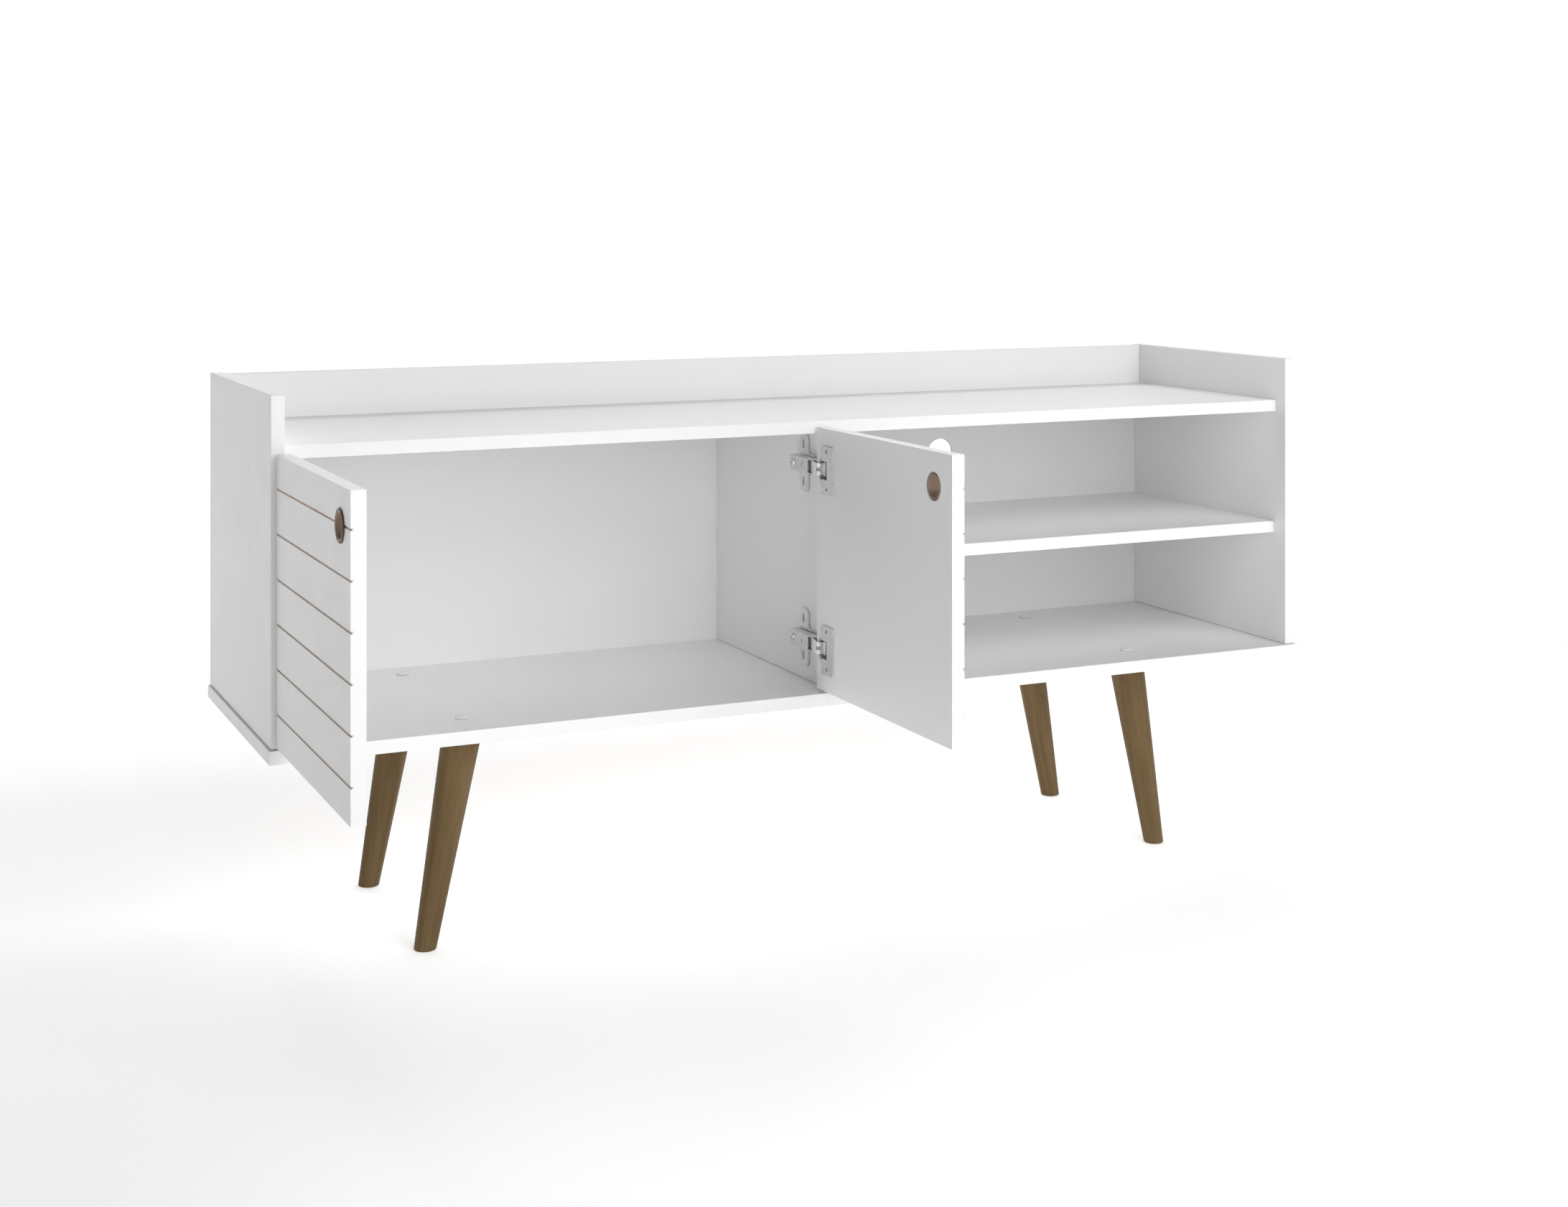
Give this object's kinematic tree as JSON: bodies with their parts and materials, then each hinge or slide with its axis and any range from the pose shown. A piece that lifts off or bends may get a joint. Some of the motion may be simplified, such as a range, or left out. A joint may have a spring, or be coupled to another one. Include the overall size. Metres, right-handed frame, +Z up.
{
  "type": "tv stand with doors",
  "caption": "Low white media cabinet with a raised-edge top tray, an open bay with a shelf, a closed bay behind grooved hinged doors, and splayed tapered wooden legs.",
  "frame": {"origin": "on the floor, at the middle of the whole outline with both doors open at a right angle", "axes": "+X along the cabinet's width, towards its open bay; +Y from the open front to the back; +Z up"},
  "size_m": [1.35, 0.6834, 0.6315],
  "materials": {
    "white_board": "satin white lacquer on fibreboard",
    "white_door_board": "satin white lacquer on fibreboard, with raw fibre in the grooves",
    "thin_back_board": "white-faced hardboard",
    "leg_wood": "satin brown stain over straight grain",
    "beech_dowel": "bare beech",
    "pull_brown": "satin brown",
    "cap_plastic": "satin white",
    "hinge_steel": "nickel plated, pressed steel",
    "hinge_link_steel": "bright nickel",
    "hinge_screw_steel": "zinc plated, pan head with a cross recess",
    "zinc_fastener": "zinc plated"
  },
  "bodies": {
    "cabinet": {"base_panel": "white_board", "left_side_panel": "white_board", "right_side_panel": "white_board", "divider_panel": "white_board", "top_shelf": "white_board", "middle_shelf": "white_board", "gallery_back_board": "white_board", "left_back_panel": "thin_back_board", "right_back_panel": "thin_back_board", "base_screw_left_front": "zinc_fastener", "base_screw_left_rear": "zinc_fastener", "base_screw_middle_front": "zinc_fastener", "base_screw_middle_rear": "zinc_fastener", "base_screw_right_front": "zinc_fastener", "base_screw_right_rear": "zinc_fastener", "top_shelf_dowel_left_front": "beech_dowel", "top_shelf_dowel_left_rear": "beech_dowel", "top_shelf_dowel_right_front": "beech_dowel", "top_shelf_dowel_right_rear": "beech_dowel", "middle_shelf_dowel_left_front": "beech_dowel", "middle_shelf_dowel_left_rear": "beech_dowel", "middle_shelf_dowel_right_front": "beech_dowel", "middle_shelf_dowel_right_rear": "beech_dowel", "leg_front_left": "leg_wood", "leg_front_right": "leg_wood", "leg_rear_left": "leg_wood", "leg_rear_right": "leg_wood", "leg_bolt_front_left": "zinc_fastener", "leg_bolt_front_right": "zinc_fastener", "leg_bolt_rear_left": "zinc_fastener", "leg_bolt_rear_right": "zinc_fastener", "bolt_cap_front_left": "cap_plastic", "bolt_cap_front_right": "cap_plastic", "bolt_cap_rear_left": "cap_plastic", "bolt_cap_rear_right": "cap_plastic", "left_upper_hinge_plate": "hinge_steel", "left_upper_hinge_arm": "hinge_steel", "left_upper_hinge_screw": "hinge_screw_steel", "left_lower_hinge_plate": "hinge_steel", "left_lower_hinge_arm": "hinge_steel", "left_lower_hinge_screw": "hinge_screw_steel", "right_upper_hinge_plate": "hinge_steel", "right_upper_hinge_arm": "hinge_steel", "right_upper_hinge_screw": "hinge_screw_steel", "right_lower_hinge_plate": "hinge_steel", "right_lower_hinge_arm": "hinge_steel", "right_lower_hinge_screw": "hinge_screw_steel"},
    "left_door": {"left_door_panel": "white_door_board", "left_door_pull_ring": "pull_brown", "left_upper_hinge_cup": "hinge_steel", "left_lower_hinge_cup": "hinge_steel"},
    "left_hinge_links": {"left_upper_hinge_link": "hinge_link_steel", "left_lower_hinge_link": "hinge_link_steel"},
    "right_door": {"right_door_panel": "white_door_board", "right_door_pull_ring": "pull_brown", "right_upper_hinge_cup": "hinge_steel", "right_lower_hinge_cup": "hinge_steel"},
    "right_hinge_links": {"right_upper_hinge_link": "hinge_link_steel", "right_lower_hinge_link": "hinge_link_steel"}
  },
  "joints": [
    {"name": "left_door_swing", "type": "hinge", "parent": "cabinet", "child": "left_door", "pos_m": [-0.664, -0.00825, 0.41325], "axis": [0, 0, -1], "range_deg": [-90, 5]},
    {"name": "right_door_swing", "type": "hinge", "parent": "cabinet", "child": "right_door", "pos_m": [-0.01105, -0.008, 0.41325], "axis": [0, 0, 1], "range_deg": [-90, 5]},
    {"name": "left_links_turn", "type": "hinge", "parent": "left_door", "child": "left_hinge_links", "pos_m": [-0.658, -0.02825, 0.41325], "axis": [0, 0, -1], "range_deg": [-5, 71]},
    {"name": "right_links_turn", "type": "hinge", "parent": "right_door", "child": "right_hinge_links", "pos_m": [-0.0168, -0.00945, 0.41325], "axis": [0, 0, 1], "range_deg": [-6, 97]}
  ],
  "couplings": [
    {"joint": "left_links_turn", "follows": "left_door_swing", "ratio": -0.7778},
    {"joint": "right_links_turn", "follows": "right_door_swing", "ratio": -1.0667}
  ]
}
